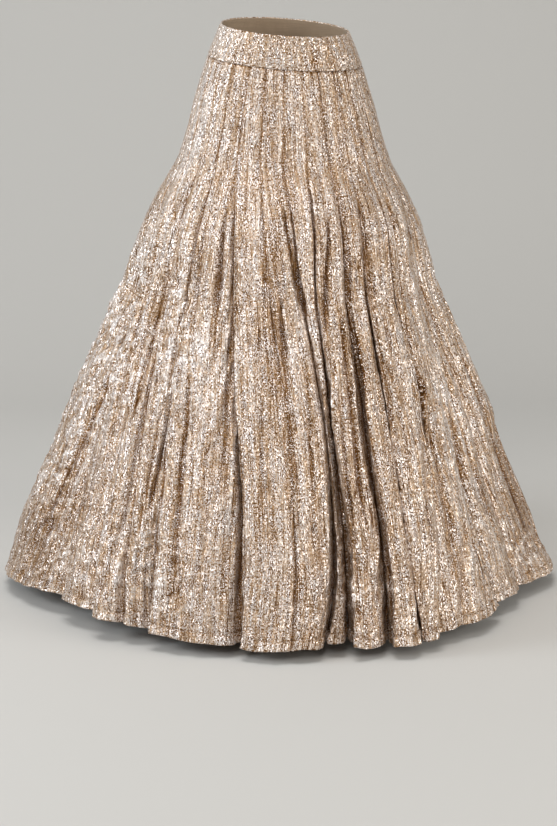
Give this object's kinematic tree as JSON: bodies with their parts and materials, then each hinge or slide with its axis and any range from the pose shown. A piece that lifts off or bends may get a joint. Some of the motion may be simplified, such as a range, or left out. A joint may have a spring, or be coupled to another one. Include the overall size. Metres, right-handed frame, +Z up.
{
  "type": "lehenga skirt",
  "caption": "Worn lehenga skirt of crushed metallic tissue: a plain waistband over 28 gores, smooth on the hips and flared in deep folds to the hem.",
  "frame": {"origin": "middle of the waist opening, half way up the waistband, where the wearer holds the skirt", "axes": "+Z up out of the waist, the front faces -Y, +X to the right as seen from the front"},
  "size_m": [1.0782, 0.9882, 1.0785],
  "materials": {
    "tissue": "crushed metallic",
    "band_tissue": "crushed metallic",
    "hook_steel": "satin"
  },
  "bodies": {
    "root": {"gore_01": "tissue", "gore_02": "tissue", "gore_03": "tissue", "gore_04": "tissue", "gore_05": "tissue", "gore_06": "tissue", "gore_07": "tissue", "gore_08": "tissue", "gore_09": "tissue", "gore_10": "tissue", "gore_11": "tissue", "gore_12": "tissue", "gore_13": "tissue", "gore_14": "tissue", "gore_15": "tissue", "gore_16": "tissue", "gore_17": "tissue", "gore_18": "tissue", "gore_19": "tissue", "gore_20": "tissue", "gore_21": "tissue", "gore_22": "tissue", "gore_23": "tissue", "gore_24": "tissue", "gore_25": "tissue", "gore_26": "tissue", "gore_27": "tissue", "gore_28": "tissue", "waistband_front": "band_tissue", "waistband_back": "band_tissue", "waist_hook": "hook_steel"}
  },
  "joints": []
}
